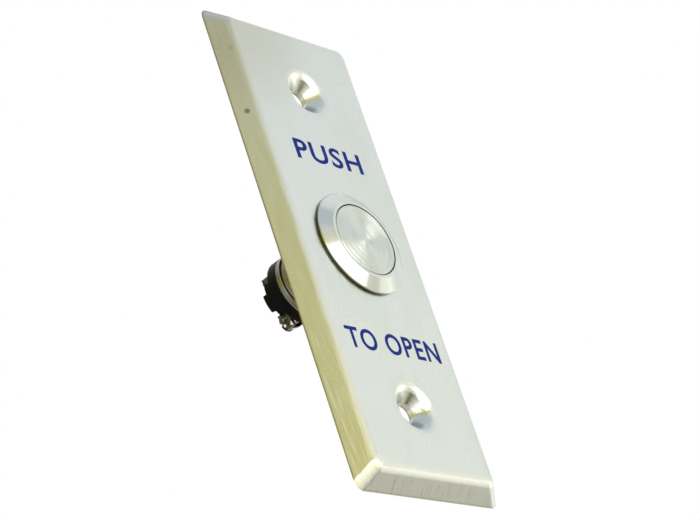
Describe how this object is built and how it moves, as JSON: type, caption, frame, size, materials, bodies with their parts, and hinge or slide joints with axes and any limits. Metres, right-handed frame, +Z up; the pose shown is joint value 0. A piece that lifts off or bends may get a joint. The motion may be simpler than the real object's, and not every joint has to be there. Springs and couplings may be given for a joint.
{
  "type": "door exit button",
  "caption": "Narrow wall plate of brushed stainless steel with a round metal push button that makes a contact between screw terminals at the rear.",
  "frame": {"origin": "on the button's axis where it crosses the wall plane, midway between the two fixing holes", "axes": "+Z up along the plate's length, the face looks towards -Y, +X to the viewer's right; the wall is y = 0 and the button's rear stands behind it in +Y"},
  "size_m": [0.04, 0.0258, 0.106],
  "materials": {
    "plate_steel": "fine vertical brushing",
    "button_steel": "turned, circular brushing",
    "plated_steel": "bright plated",
    "spring_steel": "bright drawn wire and strip",
    "terminal_metal": "nickel plated, slightly dull",
    "contact_brass": "plain brass",
    "contact_silver": "silver contact face",
    "seal_rubber": "matte black",
    "black_plastic": "moulded, semi-matte"
  },
  "bodies": {
    "housing": {"face_plate": "plate_steel", "button_housing": "button_steel", "panel_nut": "plated_steel", "lock_washer": "plated_steel", "panel_gasket": "seal_rubber", "contact_carrier": "black_plastic", "terminal_base": "black_plastic", "common_terminal": "terminal_metal", "switched_terminal": "terminal_metal", "terminal_contacts": "contact_silver", "clamp_washers": "terminal_metal", "terminal_screws": "terminal_metal"},
    "push_button": {"push_cap": "button_steel", "cap_seal": "seal_rubber", "plunger": "black_plastic", "snap_ring": "spring_steel", "stem_clip": "spring_steel", "contact_spring": "spring_steel", "contact_bridge": "contact_brass", "bridge_contacts": "contact_silver", "bridge_retainer": "spring_steel", "return_spring": "spring_steel"}
  },
  "joints": [
    {"name": "button_press", "type": "slide", "parent": "housing", "child": "push_button", "axis": [0, 1, 0], "range_m": [0, 0.0016], "stiffness_N_per_m": 1000, "springref_m": -0.002, "deforming": ["return_spring"]}
  ]
}
